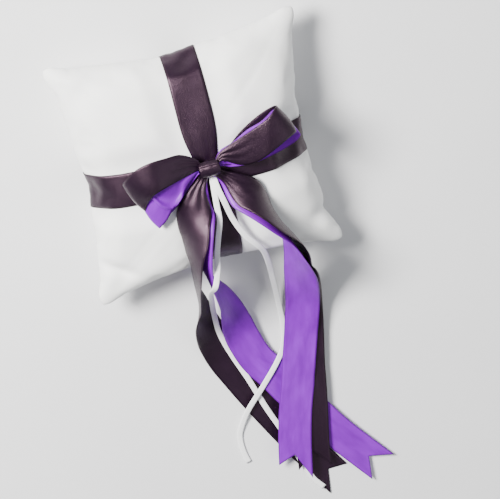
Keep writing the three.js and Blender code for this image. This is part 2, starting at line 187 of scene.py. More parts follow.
def add_solidify(piece, thickness):
    """Gives a sheet its thickness, half to each side."""
    wall = piece.modifiers.new("wall", "SOLIDIFY")
    wall.thickness = thickness
    wall.offset = 0
    wall.use_even_offset = False


def add_subdivision(piece):
    rounding = piece.modifiers.new("rounding", "SUBSURF")
    rounding.levels = rounding.render_levels = 1


def apply_modifiers(piece):
    """Bakes a piece's modifiers into its mesh."""
    depsgraph = bpy.context.evaluated_depsgraph_get()
    baked = bpy.data.meshes.new_from_object(piece.evaluated_get(depsgraph))
    piece.modifiers.clear()
    old = piece.data
    piece.data = baked
    baked.name = old.name
    bpy.data.meshes.remove(old)


def declare(piece, body, slot, *nodes):
    """Parents the piece to the body it rides on and hides the nodes it stands for. The slot is not
    used.
    """
    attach(piece, body)
    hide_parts(*nodes)


def refinish(node, finish_name):
    """Gives a frame node that is kept as it is one of the finishes."""
    for material_slot in bpy.data.objects[node].material_slots:
        material_slot.material = finish(finish_name)


# ---------------------------------------------------------------- materials


RIBBON_UV = "ribbon"  # texture layer in metres: across from the middle, then along
NOISE_MIDDLE = (0.3, 0.7)  # where a noise's dark and light tones are reached
SELVEDGE = 0.75 * MM  # width of a ribbon's woven edge
SELVEDGE_CORD = 0.25 * MM  # spacing of the cords in it
FIBRE_WHITE = (0.9, 0.9, 0.88)
THREAD_WHITE = (0.82, 0.82, 0.8)


class Nodes:
    """Shorthand for building a material's node tree."""

    def __init__(self, name):
        self.material = bpy.data.materials.new(name)
        self.material.use_nodes = True
        self.tree = self.material.node_tree
        self.shader = self.tree.nodes["Principled BSDF"]

    def add(self, kind, **values):
        """A new node; each value is one of its settings or of its sockets."""
        node = self.tree.nodes.new(kind)
        for key, value in values.items():
            if hasattr(node, key):
                setattr(node, key, value)
            else:
                node.inputs[key.replace("_", " ")].default_value = value
        return node

    def link(self, out, into):
        self.tree.links.new(out, into)

    def feed(self, out, socket):
        """Links an output to a socket of the shader."""
        self.link(out, self.shader.inputs[socket])

    def set(self, **values):
        """Sets sockets of the shader."""
        for key, value in values.items():
            self.shader.inputs[key.replace("_", " ")].default_value = value

    def maths(self, operation, a, b=None):
        node = self.tree.nodes.new("ShaderNodeMath")
        node.operation = operation
        for socket, value in zip(node.inputs, (a, b)):
            if isinstance(value, (int, float)):
                socket.default_value = value
            elif value is not None:
                self.link(value, socket)
        return node.outputs[0]

    def noise(self, vector, scales, detail, roughness=0.5):
        """Noise with a scale of its own along each axis."""
        mapping = self.add("ShaderNodeMapping")
        mapping.inputs["Scale"].default_value = scales
        self.link(vector, mapping.inputs["Vector"])
        node = self.add("ShaderNodeTexNoise", Scale=1.0, Detail=detail, Roughness=roughness)
        self.link(mapping.outputs[0], node.inputs["Vector"])
        return node.outputs["Fac"]

    def tones(self, factor, dark, light):
        """Runs from one colour to another over the middle of a noise's range."""
        node = self.add("ShaderNodeValToRGB")
        stops = zip(node.color_ramp.elements, NOISE_MIDDLE, (dark, light))
        for element, position, colour in stops:
            element.position = position
            element.color = (*colour, 1.0)
        self.link(factor, node.inputs["Fac"])
        return node.outputs["Color"]

    def bump(self, height, strength, distance, normal=None):
        node = self.add("ShaderNodeBump", Strength=strength, Distance=distance)
        self.link(height, node.inputs["Height"])
        if normal is not None:
            self.link(normal, node.inputs["Normal"])
        return node.outputs[0]

    def vary_roughness(self, factor, low, high):
        node = self.add("ShaderNodeMapRange", To_Min=low, To_Max=high)
        self.link(factor, node.inputs["Value"])
        self.feed(node.outputs[0], "Roughness")


def shade(colour, factor):
    return tuple(min(1.0, c * factor) for c in colour)


def cover_satin_material():
    """Matt bridal satin: close weave, faint slubs and softly varied white."""
    n = Nodes("cover_satin")
    base = tuple(colours().cover)
    place = n.add("ShaderNodeTexCoord").outputs["Object"]
    drift = n.noise(place, (26, 26, 26), 3)
    n.feed(n.tones(drift, shade(base, 0.955), shade(base, 1.02)), "Base Color")
    fine, coarse, deep = 3200, 420, 900  # across a yarn, along it and through the cloth
    warp = n.noise(place, (fine, coarse, deep), 1)
    weft = n.noise(place, (coarse, fine, deep), 1)
    weave = n.bump(n.maths("ADD", warp, weft), 0.16, 0.12 * MM)
    slub = n.noise(place, (60, 240, 60), 3)
    n.feed(n.bump(slub, 0.14, 0.5 * MM, weave), "Normal")
    n.vary_roughness(drift, 0.5, 0.66)
    n.set(
        Sheen_Weight=0.25, Sheen_Roughness=0.45, Sheen_Tint=(1, 1, 1, 1),
        Specular_IOR_Level=0.35,
    )
    return n.material


def ribbon_satin_material(name, base, sheen, roughness, shine, mottle):
    """Satin ribbon: long warp floats that spread the light, darker woven edges."""
    n = Nodes(name)
    where = n.add("ShaderNodeUVMap", uv_map=RIBBON_UV).outputs[0]
    parts = n.add("ShaderNodeSeparateXYZ")
    n.link(where, parts.inputs[0])
    across = parts.outputs["X"]
    edge = n.maths("GREATER_THAN", n.maths("ABSOLUTE", across), sizes().ribbon / 2 - SELVEDGE)
    tone = n.noise(where, (140, 40, 1), 3)
    colour = n.add("ShaderNodeMix", data_type="RGBA")
    n.link(edge, colour.inputs["Factor"])
    n.link(n.tones(tone, shade(base, 0.8), shade(base, 1.2)), colour.inputs["A"])
    colour.inputs["B"].default_value = (*shade(base, 0.7), 1)
    n.feed(colour.outputs["Result"], "Base Color")
    grain = n.noise(where, (1700, 1300, 1), 2, 0.75)
    floats = n.noise(where, (900, 160, 1), 2)
    cords = n.maths("SINE", n.maths("MULTIPLY", across, 2 * math.pi / SELVEDGE_CORD))
    cords = n.maths("MULTIPLY", cords, edge)
    normal = n.bump(grain, mottle, 0.35 * MM)
    normal = n.bump(floats, 0.2, 0.3 * MM, normal)
    n.feed(n.bump(cords, 0.5, 0.06 * MM, normal), "Normal")
    # the shine comes and goes over patches a few millimetres wide
    patch = n.noise(where, (420, 300, 1), 2, 0.7)
    n.vary_roughness(patch, roughness - 0.1, roughness + 0.12)
    n.set(
        Specular_IOR_Level=shine, Specular_Tint=(*sheen, 1), Sheen_Weight=0.0,
        Anisotropic=0.45,
    )
    tangent = n.add("ShaderNodeTangent", direction_type="UV_MAP", uv_map=RIBBON_UV)
    n.feed(tangent.outputs[0], "Tangent")
    return n.material


def plain_cloth_material(name, base, scale, roughness, strength):
    """Thread, fibre and narrow ribbon: a fine twist of yarn over a plain colour."""
    n = Nodes(name)
    place = n.add("ShaderNodeTexCoord").outputs["Object"]
    yarn = n.noise(place, (scale, scale, scale), 3, 0.6)
    n.feed(n.tones(yarn, shade(base, 0.9), shade(base, 1.05)), "Base Color")
    n.feed(n.bump(yarn, strength, 0.2 * MM), "Normal")
    n.set(
        Roughness=roughness, Sheen_Weight=0.2, Sheen_Roughness=0.4, Specular_IOR_Level=0.4,
    )
    return n.material


FINISHES = {}


def make_finish(name):
    tint = colours()
    if name == "cover_satin":
        return cover_satin_material()
    if name == "plum_satin":
        return ribbon_satin_material(
            name, tuple(tint.plum), tuple(tint.plum_sheen),
            roughness=0.34, shine=0.55, mottle=0.6)
    if name == "violet_satin":
        return ribbon_satin_material(
            name, tuple(tint.violet), tuple(tint.violet_sheen),
            roughness=0.36, shine=0.5, mottle=0.3)
    if name == "white_tie":
        return plain_cloth_material(
            name, tuple(tint.tie), scale=900, roughness=0.45, strength=0.35)
    if name == "fibre":
        return plain_cloth_material(name, FIBRE_WHITE, scale=300, roughness=0.9, strength=0.8)
    if name == "sewing_thread":
        return plain_cloth_material(name, THREAD_WHITE, scale=1600, roughness=0.6, strength=0.6)
    raise ValueError("no finish is named " + name)


def finish(name):
    """The material of that name, made once."""
    if name not in FINISHES:
        FINISHES[name] = make_finish(name)
    return FINISHES[name]


# ---------------------------------------------------------------- routes


def catmull(points, position):
    """A value on the smooth curve through equally spaced points; position counts them."""
    last = len(points) - 1
    index = min(int(position), last - 1)
    t = position - index
    p0 = points[max(index - 1, 0)]
    p1, p2 = points[index], points[index + 1]
    p3 = points[min(index + 2, last)]
    return 0.5 * (
        2 * p1 + (p2 - p0) * t + (2 * p0 - 5 * p1 + 4 * p2 - p3) * t * t
        + (3 * p1 - p0 - 3 * p2 + p3) * t ** 3
    )


def heading(points, position, step):
    """The direction of that curve, from a step to each side."""
    last = len(points) - 1
    ahead = catmull(points, min(position + step, last))
    behind = catmull(points, max(position - step, 0))
    return (ahead - behind).normalized()


def walk(line):
    """The distance walked to each point of a line."""
    walked = [0.0]
    for a, b in zip(line, line[1:]):
        walked.append(walked[-1] + (b - a).length)
    return walked


def spot(walked, distance):
    """The step that a distance falls in, and how far through it."""
    low = min(max(bisect_right(walked, distance) - 1, 0), len(walked) - 2)
    gap = walked[low + 1] - walked[low]
    return low, (distance - walked[low]) / gap if gap > 0 else 0.0


ROUTE_SAMPLES = 400
ROUTE_STEP = 0.02


class Route:
    """A smooth run through stations, walked by length. Extra columns ride along."""

    def __init__(self, stations):
        self.points = [Vector(station[:3]) * MM for station in stations]
        self.extras = [[station[k] for station in stations] for k in range(3, len(stations[0]))]
        last = len(stations) - 1
        self.marks = [last * k / ROUTE_SAMPLES for k in range(ROUTE_SAMPLES + 1)]
        self.walked = walk([catmull(self.points, mark) for mark in self.marks])
        self.length = self.walked[-1]

    def at(self, distance):
        """Centre, direction along and the extra columns' values there."""
        low, share = spot(self.walked, min(max(distance, 0.0), self.length))
        mark = mix(self.marks[low], self.marks[low + 1], share)
        index = min(int(mark), len(self.points) - 2)
        extras = [mix(column[index], column[index + 1], mark - index) for column in self.extras]
        return catmull(self.points, mark), heading(self.points, mark, ROUTE_STEP), extras


def ribbon_grid(steps, across_steps):
    """A flat grid, one unit each way, that carries the ribbon's texture layer."""
    bm = bmesh.new()
    bm.loops.layers.uv.new(RIBBON_UV)
    bmesh.ops.create_grid(bm, x_segments=steps, y_segments=across_steps, size=0.5)
    return bm


def write_flat(bm, flat):
    """Writes each vertex's place on the flat ribbon into the texture layer."""
    uv = bm.loops.layers.uv[RIBBON_UV]
    for polygon in bm.faces:
        for loop in polygon.loops:
            loop[uv].uv = flat[loop.vert]


def laid_ribbon(name, length, place, material, steps, across_steps, width_at, shape,
                notch=0.0, skew=0.0):
    """A strip of ribbon made from a flat grid.

    place(along) gives centre, across and face there, width_at(along) the width, and
    shape(along, side) how far it stands off. The notch cuts the end's middle back by that
    share of the length, and the skew makes one corner longer than the other."""
    bm = ribbon_grid(steps, across_steps)
    flat = {}
    for vertex in bm.verts:
        side = 2 * vertex.co.y
        cut = length * (1 - notch * (1 - abs(side)) - abs(skew) - skew * side)
        along = (vertex.co.x + 0.5) * cut
        centre, across, face = place(along)
        lift = shape(along, side)
        vertex.co = centre + across * (side * width_at(along) / 2) + face * lift
        flat[vertex] = (side * sizes().ribbon / 2, along)
    write_flat(bm, flat)
    return new_piece(name, bm, material)


# ---------------------------------------------------------------- the cushion


def groove(distance, half, ramp):
    """1 under a band and 0 beside it."""
    return 1 - smoothstep(abs(distance), half, half + ramp)


class Cushion:
    """The finished surface of the cushion, for the bands that lie on it."""

    surface = None


CUSHION_CELLS = 64
FLAT_EXTRA = 1.085  # the flat squares are larger than the plump pillow
SEWN_GAP = 1.2 * MM
GAP_OPENS = 12  # how soon the two squares part inside the seam
ON_SEAM = 1e-5


def flat_bag():
    """Two squares joined round the rim: the cover before it is filled."""
    half = sizes().side / 2 * FLAT_EXTRA
    bm = bmesh.new()
    bmesh.ops.create_grid(bm, x_segments=CUSHION_CELLS, y_segments=CUSHION_CELLS, size=half)
    lower = set(bm.verts)
    bmesh.ops.extrude_face_region(bm, geom=bm.faces[:])
    for vertex in bm.verts:
        x, y = vertex.co.x / half, vertex.co.y / half
        inside = (1 - x * x) * (1 - y * y)
        rise = SEWN_GAP * min(1.0, GAP_OPENS * inside) if inside > ON_SEAM else 0.0
        vertex.co.z = -rise if vertex in lower else rise
    bmesh.ops.remove_doubles(bm, verts=bm.verts, dist=0.01 * MM)
    turn_outwards(bm)
    return bm


CLOTH = {
    "quality": 8,
    "mass": 0.15,
    "use_pressure": True,
    "uniform_pressure_force": 6.0,
    "tension_stiffness": 40,
    "compression_stiffness": 12,
    "shear_stiffness": 8,
    "bending_stiffness": 0.4,
    "air_damping": 2.0,
}
FILLING_FRAMES = 30
CACHE_FRAMES = 40


def fill_bag(piece):
    """Blows the bag up like a stuffed cushion, with puckers along its edge."""
    cloth = piece.modifiers.new("filling", "CLOTH")
    for name, value in CLOTH.items():
        setattr(cloth.settings, name, value)
    cloth.settings.effector_weights.gravity = 0
    cloth.collision_settings.use_collision = False
    cloth.collision_settings.use_self_collision = False
    cloth.point_cache.frame_start = 1
    cloth.point_cache.frame_end = CACHE_FRAMES
    scene = bpy.context.scene
    for number in range(1, FILLING_FRAMES + 1):
        scene.frame_set(number)
    apply_modifiers(piece)
    scene.frame_set(1)


EVEN_RISE = 33 * MM  # height of each half of an evenly stuffed cushion
EVEN_FULLNESS = 0.45  # lower is boxier
EVEN_WAIST = 0.118  # share of the side that is pulled in at its middle
EVENNESS = 0.55  # how far the stuffing is patted even after filling


def pattern_shape(flat):
    """Where a point of the flat bag lies on an evenly stuffed cushion."""
    half = sizes().side / 2 * FLAT_EXTRA
    x, y = flat.x / half, flat.y / half
    body = max(0.0, (1 - x * x) * (1 - y * y))
    rise = math.copysign(EVEN_RISE * body ** EVEN_FULLNESS, flat.z) if flat.z else 0.0
    return Vector((
        flat.x * (1 - EVEN_WAIST * (1 - y * y)) / FLAT_EXTRA,
        flat.y * (1 - EVEN_WAIST * (1 - x * x)) / FLAT_EXTRA,
        rise,
    ))


def pat_even(mesh, pattern):
    """Draws the filled bag towards an evenly stuffed cushion, keeping its folds."""
    filled = max(v.co.x for v in mesh.vertices)
    even = max(co.x for co in pattern)
    tall = max(v.co.z for v in mesh.vertices)
    even_tall = max(co.z for co in pattern)
    for vertex, co in zip(mesh.vertices, pattern):
        x, y, z = vertex.co
        own = Vector((x * even / filled, y * even / filled, z * even_tall / tall))
        vertex.co = own.lerp(co, EVENNESS)


CROWN_SPARE = 4 * MM  # what the bands press back down at the front
BACK_SPARE = 7 * MM  # what the table presses flat
WAIST_STRIP = 8 * MM  # half the strip where a side's waist is read
BAND_REACH = 0.4 * MM  # how far a band stands outside the cushion's waist
RIM = (0.3 * MM, 6 * MM)  # heights from the seam where the rim ends
EAR = {"from": 0.87, "tip": 0.93, "longer": 0.2, "wider": 0.55, "blunt": 1.5 * MM}
GATHER = 1.1 * MM  # ripple of the edge where the seam gathers it
GATHER_WAVE = (560, 90)  # radians per metre: the ripple, and how it comes and goes
RUCK = 0.9 * MM  # ripple of the cloth beside the seam
RUCK_WAVE = (260, 50)
RUCK_EDGE, RUCK_HEIGHT = (0.7, 0.95), (1 * MM, 9 * MM)  # where it fades in
NOTCH = {"depth": 3.4 * MM, "y": -62 * MM, "width": 6 * MM, "x": (60 * MM, 80 * MM)}
BAND_MARGIN = 1.5 * MM  # the dent is wider than the band by this, each side
BAND_RAMP = 20 * MM  # and fades out over this
BACK_RAMP = 8 * MM
FRONT_DENT, BACK_DENT = 4.6 * MM, 3 * MM
DENT_HEIGHT = (0, 12 * MM)  # heights from the seam where the dent fades in
BAND_PINCH, PINCH_WIDTH, PINCH_EDGE = 1.0 * MM, 14 * MM, (0.6, 0.9)
LUMPS, LUMP_SCALE, LUMP_SEED = 1.1 * MM, 30, 3.7
LUMP_HEIGHT = (4 * MM, 20 * MM)
SLACK = 1.5 * MM  # the stuffing stops short of the corners
SLACK_AT, SLACK_WIDTH, SLACK_HEIGHT = 0.6, 0.1, (2 * MM, 14 * MM)
EAR_CREASE = {"depth": 4.5 * MM, "at": (-72 * MM, -63 * MM), "across": (0.5, 0.87),
              "width": 3.6 * MM, "length": 12 * MM}
TABLE_GAP = 0.6 * MM  # how far the back lies over the table
BAND_GAP = 2.0 * MM  # and how much higher it lies over a band
EASE = 3 * MM  # height over which it eases onto the table


def bow_out(x, y, spare, waist, rim_half):
    """How far x moves for its side to reach the band at its middle."""
    bow = spare * max(0.0, 1 - (y / rim_half) ** 2) * min(1.0, abs(x) / waist)
    return math.copysign(bow, x)


def blunt_ears(x, y, rim_half):
    """Fills the corners out: a little longer, and broader across their tips."""
    tip = (abs(x) + abs(y)) / (2 * rim_half)
    skew = (abs(x) - abs(y)) / 2
    longer = rim_half * EAR["longer"] * max(0.0, tip - EAR["tip"])
    broad = (skew + math.copysign(EAR["blunt"], skew)) * EAR["wider"]
    broad *= smoothstep(tip, EAR["from"], 1.0)
    return math.copysign(abs(x) + longer + broad, x), math.copysign(abs(y) + longer - broad, y)


def uneven_wave(run, rate, drift):
    """A wave whose folds are now closer together, now further apart."""
    return math.sin(run * rate + 3 * math.sin(run * drift))


def notch_beside_ear(x, y):
    """How far the right side is drawn in beside its lower ear."""
    depth = NOTCH["depth"] * hump(y, NOTCH["y"], NOTCH["width"]) if x > 0 else 0.0
    return depth * smoothstep(abs(x), *NOTCH["x"])


def settle_cushion(mesh):
    """Sizes the filled bag, flattens the back on the table and sinks it under the bands."""
    size = sizes()
    xs, ys, zs = zip(*(v.co for v in mesh.vertices))
    wide = size.side / (max(xs) - min(xs))
    deep = size.side / (max(ys) - min(ys))
    shift = Vector(((max(xs) + min(xs)) / 2, (max(ys) + min(ys)) / 2, 0))
    front = (size.top + CROWN_SPARE - size.seam_height) / max(zs)
    back = (size.seam_height + BACK_SPARE) / -min(zs)
    half = size.ribbon / 2 + BAND_MARGIN
    rim_half = size.side / 2
    centred = [v.co - shift for v in mesh.vertices]
    waist_x = max(abs(co.x) for co in centred if abs(co.y) < WAIST_STRIP) * wide
    waist_y = max(abs(co.y) for co in centred if abs(co.x) < WAIST_STRIP) * deep
    out_x = HORIZONTAL_HIGH[0] - BAND_REACH - waist_x
    out_y = VERTICAL_HIGH[1] - BAND_REACH - waist_y

    def under_band(x, y, ramp):
        return max(groove(x - BAND_X, half, ramp), groove(y - BAND_Y, half, ramp))

    for vertex, co in zip(mesh.vertices, centred):
        x, y = co.x * wide, co.y * deep
        rim = 1 - smoothstep(abs(co.z), *RIM)
        bow_x = bow_out(x, y, out_x, waist_x, rim_half)
        bow_y = bow_out(y, x, out_y, waist_y, rim_half)
        x, y = x + bow_x, y + bow_y
        x, y = blunt_ears(x, y, rim_half)
        # the seam gathers the cloth along the rim
        along_x = abs(y) > abs(x)
        run = x if along_x else y
        gather = GATHER * uneven_wave(run, *GATHER_WAVE) * rim
        if along_x:
            y += math.copysign(gather, y)
        else:
            x += math.copysign(gather, x)
            x -= notch_beside_ear(x, y)
        under = under_band(x, y, BAND_RAMP)
        edge_x, edge_y = abs(x) / rim_half, abs(y) / rim_half
        if co.z >= 0:
            way = 1
            z = co.z * front
            z -= FRONT_DENT * under * smoothstep(z, *DENT_HEIGHT)
            lump = noise.noise(Vector((x * LUMP_SCALE, y * LUMP_SCALE, LUMP_SEED)))
            z += LUMPS * lump * smoothstep(z, *LUMP_HEIGHT)
        else:
            way = -1
            z = co.z * back
            z += BACK_DENT * under * smoothstep(-z, *DENT_HEIGHT)
        # the bands draw the edge in where they cross it
        pinch_x = BAND_PINCH * hump(y, BAND_Y, PINCH_WIDTH) * smoothstep(edge_x, *PINCH_EDGE)
        pinch_y = BAND_PINCH * hump(x, BAND_X, PINCH_WIDTH) * smoothstep(edge_y, *PINCH_EDGE)
        x -= math.copysign(pinch_x, x)
        y -= math.copysign(pinch_y, y)
        # sewn edges pucker, and the stuffing stops short of the corners
        near_rim = smoothstep(max(edge_x, edge_y), *RUCK_EDGE)
        ruck = RUCK * uneven_wave(run, *RUCK_WAVE) * near_rim
        z += ruck * smoothstep(abs(z), *RUCK_HEIGHT)
        dent = SLACK * hump(edge_x * edge_y, SLACK_AT, SLACK_WIDTH) * way
        z -= dent * smoothstep(abs(z), *SLACK_HEIGHT)
        # one crease runs out into the lower left ear
        off = sum((here - at) * share for here, at, share
                  in zip((x, y), EAR_CREASE["at"], EAR_CREASE["across"]))
        crease = EAR_CREASE["depth"] * hump(off, 0, EAR_CREASE["width"])
        z -= crease * hump(x, EAR_CREASE["at"][0], EAR_CREASE["length"]) * way * (1 - rim)
        z += size.seam_height
        low = TABLE_GAP + BAND_GAP * under_band(x, y, BACK_RAMP) + EASE
        if z < low:  # eases onto the table rather than creasing
            z = low - EASE + EASE * math.exp((z - low) / EASE)
        vertex.co = Vector((x, y, z))


WADDING_GAP = 1.6 * MM  # the filling lies this far inside the cover


class PILLOW_OT_cushion(bpy.types.Operator):
    """Build the stuffed satin cushion and its filling"""

    bl_idname = "pillow.cushion"
    bl_label = "Cushion"

    def execute(self, context):
        bm = flat_bag()
        pattern = [pattern_shape(vertex.co) for vertex in bm.verts]
        cover = new_piece("satin_cover", bm, finish("cover_satin"))
        fill_bag(cover)
        pat_even(cover.data, pattern)
        settle_cushion(cover.data)
        face_outwards(cover.data)
        add_subdivision(cover)
        apply_modifiers(cover)
        declare(cover, "pillow", "cover_satin", "cover_front", "cover_back")
        surface = bmesh.new()
        surface.from_mesh(cover.data)
        Cushion.surface = BVHTree.FromBMesh(surface)
        for vertex in surface.verts:
            vertex.co -= vertex.normal * WADDING_GAP
        filling = new_piece("fibre_wadding", surface, finish("fibre"))
        declare(filling, "pillow", "fibre", "fibre_filling")
        return {"FINISHED"}


# ---------------------------------------------------------------- bands round the cushion


WRAP_RAYS = 720
BAND_STEPS, BAND_ACROSS = 300, 12
LAP = 20 * MM
LAP_DOWN, LAP_ACROSS = 0.62, 0.66  # share of the way round where each band's lap starts
LAP_RISE, LAP_RAMP = 0.6 * MM, 4 * MM
PULL_WIDTH = 17 * MM  # how far from the knot a band is gathered
PULL_NARROW = 0.34  # share of its width that it loses there
PULL_PLEAT = 0.3 * MM
BAND_RIPPLE = 0.12 * MM
BAND_LIFT = 0.5 * MM  # middle of a band's thickness over the cushion
CROSSING_LIFT, CROSSING_WIDTH = 0.75 * MM, 15 * MM
NEARBY = 3  # rays to each side that give a band's direction


def wrap_profile(axis, at):
    """Where a taut loop round the cushion runs, in the plane that holds Z and the axis."""
    centre = Vector((0, 0, sizes().seam_height))
    centre[1 - axis] = at
    ring = []
    for k in range(WRAP_RAYS):
        angle = 2 * math.pi * k / WRAP_RAYS
        direction = Vector((0, 0, math.sin(angle)))
        direction[axis] = math.cos(angle)
        hit, _, _, reach = Cushion.surface.ray_cast(centre, direction)
        ring.append((direction, reach if hit is not None else 0.0))
    return centre, ring


def band(name, node, axis, at, lap_at, pull_at, lift):
    """One ribbon wrapped right round, its end lapped on the back."""
    size = sizes()
    half = size.ribbon / 2
    sides = [2 * j / BAND_ACROSS - 1 for j in range(BAND_ACROSS + 1)]
    rows = [wrap_profile(axis, at + side * half) for side in sides]
    centre_line, middle_ring = rows[BAND_ACROSS // 2]
    line = [centre_line + direction * reach for direction, reach in middle_ring]
    walked = walk(line + line[:1])
    girth = walked[-1]
    start = walked[int(WRAP_RAYS * lap_at)]
    sideways = Vector((0, 0, 0))
    sideways[1 - axis] = 1

    def point(turn, side):
        """Where the cushion is met at that ray, and that far across the band."""
        row = (side + 1) / 2 * BAND_ACROSS
        j = min(int(row), BAND_ACROSS - 1)
        i = int(turn) % WRAP_RAYS
        found = []
        for centre, ring in (rows[j], rows[j + 1]):
            d0, r0 = ring[i]
            d1, r1 = ring[(i + 1) % WRAP_RAYS]
            found.append((centre + d0 * r0).lerp(centre + d1 * r1, turn - int(turn)))
        return found[0].lerp(found[1], row - j)

    bm = ribbon_grid(BAND_STEPS, BAND_ACROSS)
    flat = {}
    for vertex in bm.verts:
        side = 2 * vertex.co.y
        along = (vertex.co.x + 0.5) * (girth + LAP)
        turn = sum(spot(walked, (start + along) % girth))
        on_front = math.sin(2 * math.pi * turn / WRAP_RAYS) > 0
        middle = point(turn, 0)
        pull = hump(middle[axis], pull_at, PULL_WIDTH) if on_front else 0.0
        taken = side * (1 - PULL_NARROW * pull)
        here = point(turn, taken)
        ahead = point((turn + NEARBY) % WRAP_RAYS, taken)
        behind = point((turn - NEARBY) % WRAP_RAYS, taken)
        outward = (ahead - behind).normalized().cross(sideways)
        if outward.dot(here - centre_line) < 0:
            outward = -outward
        height = lift(middle)
        if along > girth:
            height += LAP_RISE * smoothstep(along, girth, girth + LAP_RAMP)
        pleats = PULL_PLEAT * pull * (1 + math.cos(2.5 * math.pi * side + 0.6))
        ripple = BAND_RIPPLE * math.sin(along / (9 * MM) + 2.2 * side)
        vertex.co = here + outward * (height + pleats + ripple)
        flat[vertex] = (side * half, along)
    write_flat(bm, flat)
    bmesh.ops.recalc_face_normals(bm, faces=bm.faces)
    piece = new_piece(name, bm, finish("plum_satin"))
    add_solidify(piece, size.ribbon_thickness)
    declare(piece, "pillow", "plum_satin", node)


class PILLOW_OT_bands(bpy.types.Operator):
    """Wrap the two plum ribbons round the cushion"""

    bl_idname = "pillow.bands"
    bl_label = "Bands"

    def execute(self, context):
        def over(point):
            return BAND_LIFT + CROSSING_LIFT * hump(point.y, BAND_Y, CROSSING_WIDTH)

        def under(point):
            return BAND_LIFT

        band("band_down_the_front", "band_vertical", 1, BAND_X, LAP_DOWN, KNOT_CENTRE.y, over)
        band("band_across", "band_horizontal", 0, BAND_Y, LAP_ACROSS, KNOT_CENTRE.x, under)
        return {"FINISHED"}


# ---------------------------------------------------------------- streamers

# Each station is x, y and z in millimetres, then the ribbon's turn about its route in degrees.
# The notch and the skew are shares of the length.
STREAMERS = {
    "streamer_left_plum": {
        "stations": [
            (0, -2, 63.5, 0), (-2.3, -6.5, 62, 0), (-7, -13, 62.4, 0), (-11, -22, 63, 8),
            (-15, -34, 64, 32), (-17, -46, 65, 50), (-20, -58, 64, 68), (-21.5, -71, 60.2, 82),
            (-22, -87, 46.5, 90), (-21, -104, 32, 101), (-20, -125, 17, 138),
            (-16, -146, 6, 168), (-11, -165, 1, 180), (-4, -181, 0.7, 180), (7, -204, 0.7, 180),
            (23, -235, 0.7, 180), (35, -257, 0.7, 180), (54, -288, 0.7, 180),
        ],
        "notch": 0.035, "skew": -0.012, "body": "left_streamers", "finish": "plum_satin",
    },
    "streamer_left_violet": {
        "stations": [
            (-0.4, -4.4, 61.2, 0), (-1.5, -6.5, 60.2, 0), (-5, -15.5, 60.4, 0),
            (-9, -24.5, 61, 8), (-12, -35, 63.4, 30), (-14, -47, 64.2, 48), (-15, -60, 62.6, 64),
            (-14, -73, 57.6, 80), (-10, -93, 42.6, 100), (-4, -110, 29, 125), (0, -125, 19, 145),
            (3, -140, 11.5, 165), (6, -154, 6, 177), (12, -172, 3.7, 180), (22, -188, 3.7, 180),
            (31, -204, 3.7, 180), (46, -227, 3.7, 180), (60, -249, 3.7, 180),
            (86, -284, 3.7, 180),
        ],
        "notch": 0.045, "skew": 0.0, "body": "left_streamers", "finish": "violet_satin",
    },
    "streamer_right_plum": {
        "stations": [
            (8, -2, 63.5, 0), (12.5, -6.5, 61.6, 0), (18, -12, 62.4, -8),
            (25.5, -21.5, 64.4, -28), (32, -30, 67, -50), (38, -40.5, 68, -70),
            (44, -52, 66, -85), (50, -62, 62, -95), (54.5, -74, 58.4, -106), (55, -88, 45, -122),
            (56, -104, 32, -142), (56, -122, 19, -158), (55, -139, 10, -170),
            (52.5, -160, 6.4, -180), (48.5, -183, 6.4, -180), (44, -214, 6.4, -180),
            (38.5, -246, 6.4, -180), (36, -268, 6.4, -180),
        ],
        "notch": 0.045, "skew": 0.0, "body": "right_streamers", "finish": "plum_satin",
    },
    "streamer_right_violet": {
        "stations": [
            (7, -2, 62.5, 0), (11.5, -7.5, 60.2, 0), (16.2, -13.4, 61, -8),
            (22.8, -23.4, 62.6, -28), (28.6, -32.4, 65.6, -50), (34.6, -43, 67, -70),
            (41, -54.6, 65.4, -85), (46.6, -64.4, 62, -95), (50, -75, 56.4, -106),
            (52.4, -89, 46, -122), (53.6, -104, 34, -142), (54, -120, 22.4, -158),
            (52.7, -137, 12.8, -170), (47.7, -159, 8, -180), (42.4, -178, 8, -180),
            (36.8, -198.5, 8, -180), (30.3, -220.5, 8, -180), (24.7, -245.5, 8, -180),
            (20, -273, 8, -180),
        ],
        "notch": 0.045, "skew": 0.022, "body": "right_streamers", "finish": "violet_satin",
    },
}


STREAMER_STEPS, STREAMER_ACROSS = 190, 14
GATHERED_WIDTH = 6.5 * MM  # a streamer's width inside the knot
KNOT_PLEAT = 0.6 * MM
CAMBER_NEAR, CAMBER_FAR = 2.0 * MM, 0.15 * MM
STREAMER_WAVE = 0.35 * MM
# height, lean across the ribbon, share of the length where it lies, width, side it fades from
STREAMER_CREASES = (
    (0.5 * MM, 7 * MM, 0.61, 4 * MM, 1),
    (0.45 * MM, -9 * MM, 0.76, 5 * MM, -1),
)
LOWEST = 0.3 * MM  # over the table


